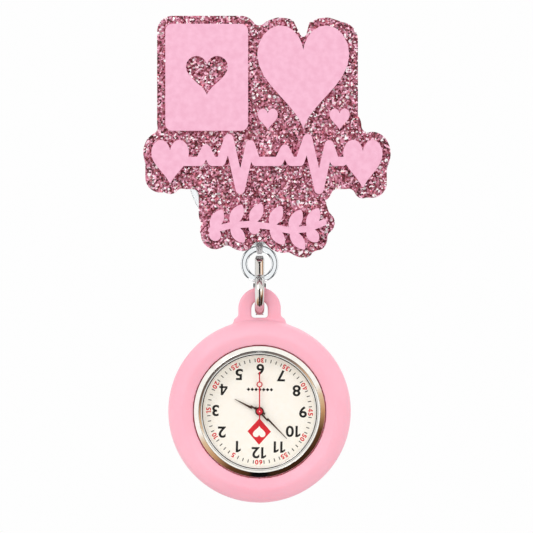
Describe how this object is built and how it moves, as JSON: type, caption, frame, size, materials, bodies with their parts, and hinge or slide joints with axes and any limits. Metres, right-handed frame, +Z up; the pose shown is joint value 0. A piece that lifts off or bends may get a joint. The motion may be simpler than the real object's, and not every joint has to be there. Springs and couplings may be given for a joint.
{
  "type": "fob watch",
  "caption": "Retractable fob watch: glitter topper on a clip-on cord reel, lobster clasp, and an upside-down quartz watch in a soft silicone cover.",
  "frame": {"origin": "middle of the garment clip's bite, where its two jaws meet", "axes": "+Z up, as it hangs; the dial and the topper face -Y; +X to the viewer's right"},
  "size_m": [0.0566, 0.0236, 0.1116],
  "materials": {
    "glitter_acrylic": "glossy, full of glitter flakes",
    "pink_acrylic": "satin",
    "foam_pad": "soft foam",
    "clear_plastic": "clear, polished",
    "white_plastic": "moulded",
    "spring_steel": "blued, satin",
    "nickel_steel": "nickel plated",
    "cord_nylon": "braided",
    "silicone": "soft satin",
    "case_alloy": "polished, warm",
    "back_steel": "brushed",
    "gasket_rubber": "matt",
    "gasket_nylon": "translucent",
    "mineral_glass": "polished",
    "dial_enamel": "satin, printed",
    "bronze_paint": "satin",
    "red_paint": "satin",
    "holder_plastic": "moulded",
    "plate_steel": "satin",
    "gilt_brass": "satin",
    "circuit_laminate": "solder mask",
    "copper_winding": "enamelled wire",
    "gear_plastic": "moulded",
    "can_metal": "satin"
  },
  "bodies": {
    "clip": {"clip_base": "nickel_steel", "clip_rivet": "nickel_steel", "clip_hinge_pin": "nickel_steel", "clip_spring": "spring_steel"},
    "clip_lever": {"clip_lever": "nickel_steel"},
    "reel": {"reel_front_shell": "clear_plastic", "reel_back_shell": "clear_plastic", "adhesive_pad": "foam_pad", "topper_backing": "glitter_acrylic", "window_tile": "pink_acrylic", "heart_tile": "pink_acrylic", "pulse_trace": "pink_acrylic", "leaf_sprig": "pink_acrylic", "cord_run": "cord_nylon"},
    "spool": {"reel_spool": "white_plastic", "reel_spring": "spring_steel", "cord_winding": "cord_nylon"},
    "cord_end": {"cord_knot": "cord_nylon"},
    "ring": {"cord_end_ring": "clear_plastic"},
    "clasp": {"clasp_body": "nickel_steel", "clasp_pin": "nickel_steel", "clasp_spring": "spring_steel"},
    "clasp_gate": {"clasp_lever": "nickel_steel"},
    "watch": {"silicone_cover": "silicone", "watch_case": "case_alloy", "case_back": "back_steel", "case_back_gasket": "gasket_rubber", "crystal": "mineral_glass", "crystal_gasket": "gasket_nylon", "flange_ring": "gasket_nylon", "dial": "dial_enamel", "movement_holder": "holder_plastic", "main_plate": "plate_steel", "train_bridge": "plate_steel", "movement_screws": "spring_steel", "battery": "can_metal", "battery_strap": "gilt_brass", "circuit_board": "circuit_laminate", "quartz_crystal": "can_metal", "coil": "copper_winding", "stator": "spring_steel"},
    "seconds": {"fourth_wheel": "gear_plastic", "second_hand": "red_paint"},
    "minutes": {"centre_wheel": "gilt_brass", "cannon_pinion": "spring_steel", "minute_hand": "bronze_paint"},
    "hours": {"hour_wheel": "gilt_brass", "hour_hand": "bronze_paint"},
    "third": {"third_wheel": "gilt_brass"},
    "intermediate": {"intermediate_wheel": "gear_plastic"},
    "rotor": {"rotor": "spring_steel"},
    "motion_work": {"minute_wheel": "gilt_brass"},
    "stem": {"stem": "spring_steel"},
    "crown": {"crown": "case_alloy"}
  },
  "joints": [
    {"name": "clip_open", "type": "hinge", "parent": "clip", "child": "clip_lever", "pos_m": [0, 0.001, 0.0175], "axis": [1, 0, 0], "range_deg": [0, 25], "stiffness_Nm_per_rad": 0.05, "springref_deg": -28.65},
    {"name": "reel_swivel", "type": "hinge", "parent": "clip", "child": "reel", "pos_m": [0, 0, 0.012], "axis": [0, 1, 0], "continuous": true},
    {"name": "spool_spin", "type": "hinge", "parent": "reel", "child": "spool", "pos_m": [0, 0, 0.012], "axis": [0, 1, 0], "range_deg": [0, 3330]},
    {"name": "cord_pull", "type": "slide", "parent": "reel", "child": "cord_end", "axis": [0, 0, -1], "range_m": [0, 0.6], "stiffness_N_per_m": 1, "springref_m": -0.6},
    {"name": "ring_turn", "type": "hinge", "parent": "cord_end", "child": "ring", "pos_m": [0, -0.0076, -0.0094], "axis": [0, 1, 0], "range_deg": [-35, 35]},
    {"name": "clasp_swing", "type": "hinge", "parent": "ring", "child": "clasp", "pos_m": [0, -0.0076, -0.01295], "axis": [1, 0, 0], "range_deg": [-30, 30]},
    {"name": "clasp_open", "type": "hinge", "parent": "clasp", "child": "clasp_gate", "pos_m": [0, -0.0051, -0.0127], "axis": [-1, 0, 0], "range_deg": [0, 18], "stiffness_Nm_per_rad": 0.002, "springref_deg": -28.65},
    {"name": "watch_lift", "type": "hinge", "parent": "clasp", "child": "watch", "pos_m": [0, -0.0076, -0.0163], "axis": [-1, 0, 0], "range_deg": [-60, 80]},
    {"name": "second_spin", "type": "hinge", "parent": "watch", "child": "seconds", "pos_m": [0, -0.0076, -0.0433], "axis": [0, 1, 0], "continuous": true},
    {"name": "minute_spin", "type": "hinge", "parent": "watch", "child": "minutes", "pos_m": [0, -0.0076, -0.0433], "axis": [0, 1, 0], "continuous": true},
    {"name": "hour_spin", "type": "hinge", "parent": "watch", "child": "hours", "pos_m": [0, -0.0076, -0.0433], "axis": [0, 1, 0], "continuous": true},
    {"name": "third_spin", "type": "hinge", "parent": "watch", "child": "third", "pos_m": [0.00288, -0.0076, -0.04435], "axis": [0, 1, 0], "continuous": true},
    {"name": "intermediate_spin", "type": "hinge", "parent": "watch", "child": "intermediate", "pos_m": [-0.00258, -0.0076, -0.04511], "axis": [0, 1, 0], "continuous": true},
    {"name": "rotor_spin", "type": "hinge", "parent": "watch", "child": "rotor", "pos_m": [-0.00337, -0.0076, -0.04728], "axis": [0, 1, 0], "continuous": true},
    {"name": "minute_wheel_spin", "type": "hinge", "parent": "watch", "child": "motion_work", "pos_m": [-0.00208, -0.0076, -0.0421], "axis": [0, 1, 0], "continuous": true},
    {"name": "crown_pull", "type": "slide", "parent": "watch", "child": "stem", "axis": [-1, 0, 0], "range_m": [0, 0.0008]},
    {"name": "crown_turn", "type": "hinge", "parent": "stem", "child": "crown", "pos_m": [-0.0175, -0.0062, -0.0433], "axis": [1, 0, 0], "continuous": true}
  ],
  "couplings": [
    {"joint": "minute_spin", "follows": "second_spin", "ratio": 0.016667},
    {"joint": "hour_spin", "follows": "second_spin", "ratio": 0.0013889},
    {"joint": "third_spin", "follows": "second_spin", "ratio": -0.13333},
    {"joint": "intermediate_spin", "follows": "second_spin", "ratio": -5},
    {"joint": "rotor_spin", "follows": "second_spin", "ratio": 30},
    {"joint": "minute_wheel_spin", "follows": "second_spin", "ratio": -0.0055556},
    {"joint": "spool_spin", "follows": "cord_pull", "rad_per_m": 96.6}
  ]
}
